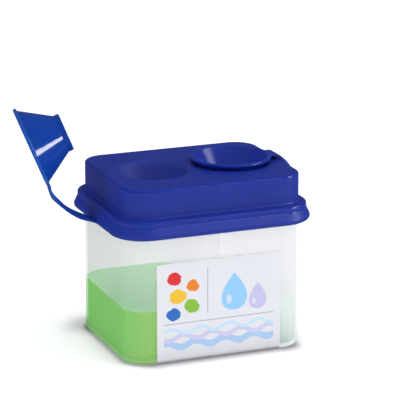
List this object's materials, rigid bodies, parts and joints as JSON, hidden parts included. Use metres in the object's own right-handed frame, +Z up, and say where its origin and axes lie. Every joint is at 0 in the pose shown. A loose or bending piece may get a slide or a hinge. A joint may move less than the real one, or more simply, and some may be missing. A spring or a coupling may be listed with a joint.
{
  "type": "brush washing jar",
  "caption": "Divided translucent tub for rinsing brushes, with a push-on domed lid, funnel wells and hollow cone stoppers tied on by straps; shown with one stopper open.",
  "frame": {"origin": "middle of the jar's flat base", "axes": "+X to the right along the front, +Y to the back, +Z up"},
  "size_m": [0.1829, 0.1064, 0.154],
  "materials": {
    "jar": "translucent milky satin",
    "label": "printed film, satin",
    "lid": "semi-gloss moulded",
    "stopper": "glossy moulded"
  },
  "bodies": {
    "jar": {"jar": "jar", "front_label": "label"},
    "lid": {"lid": "lid"},
    "left_strap": {"left_strap": "stopper"},
    "left_stopper": {"left_stopper": "stopper"},
    "right_strap": {"right_strap": "stopper"},
    "right_stopper": {"right_stopper": "stopper"}
  },
  "joints": [
    {"name": "lid_lift", "type": "slide", "parent": "jar", "child": "lid", "axis": [0, 0, 1], "range_m": [0, 0.04]},
    {"name": "left_strap_root", "type": "hinge", "parent": "lid", "child": "left_strap", "pos_m": [-0.0672, 0, 0.0829], "axis": [0, 1, 0], "range_deg": [0, 70]},
    {"name": "left_stopper_rim", "type": "hinge", "parent": "left_strap", "child": "left_stopper", "pos_m": [-0.09097, 0, 0.10368], "axis": [0.0931, 0.9622, 0.2559], "range_deg": [0, 44]},
    {"name": "right_strap_root", "type": "hinge", "parent": "lid", "child": "right_strap", "pos_m": [0.0672, 0, 0.0829], "axis": [0, 1, 0], "range_deg": [0, 70]},
    {"name": "right_stopper_rim", "type": "hinge", "parent": "right_strap", "child": "right_stopper", "pos_m": [0.0558, 0, 0.11235], "axis": [0.2723, 0.9622, 0], "range_deg": [0, 44]}
  ],
  "couplings": [
    {"joint": "left_stopper_rim", "follows": "left_strap_root", "ratio": 0.62857},
    {"joint": "right_stopper_rim", "follows": "right_strap_root", "ratio": 0.62857}
  ]
}
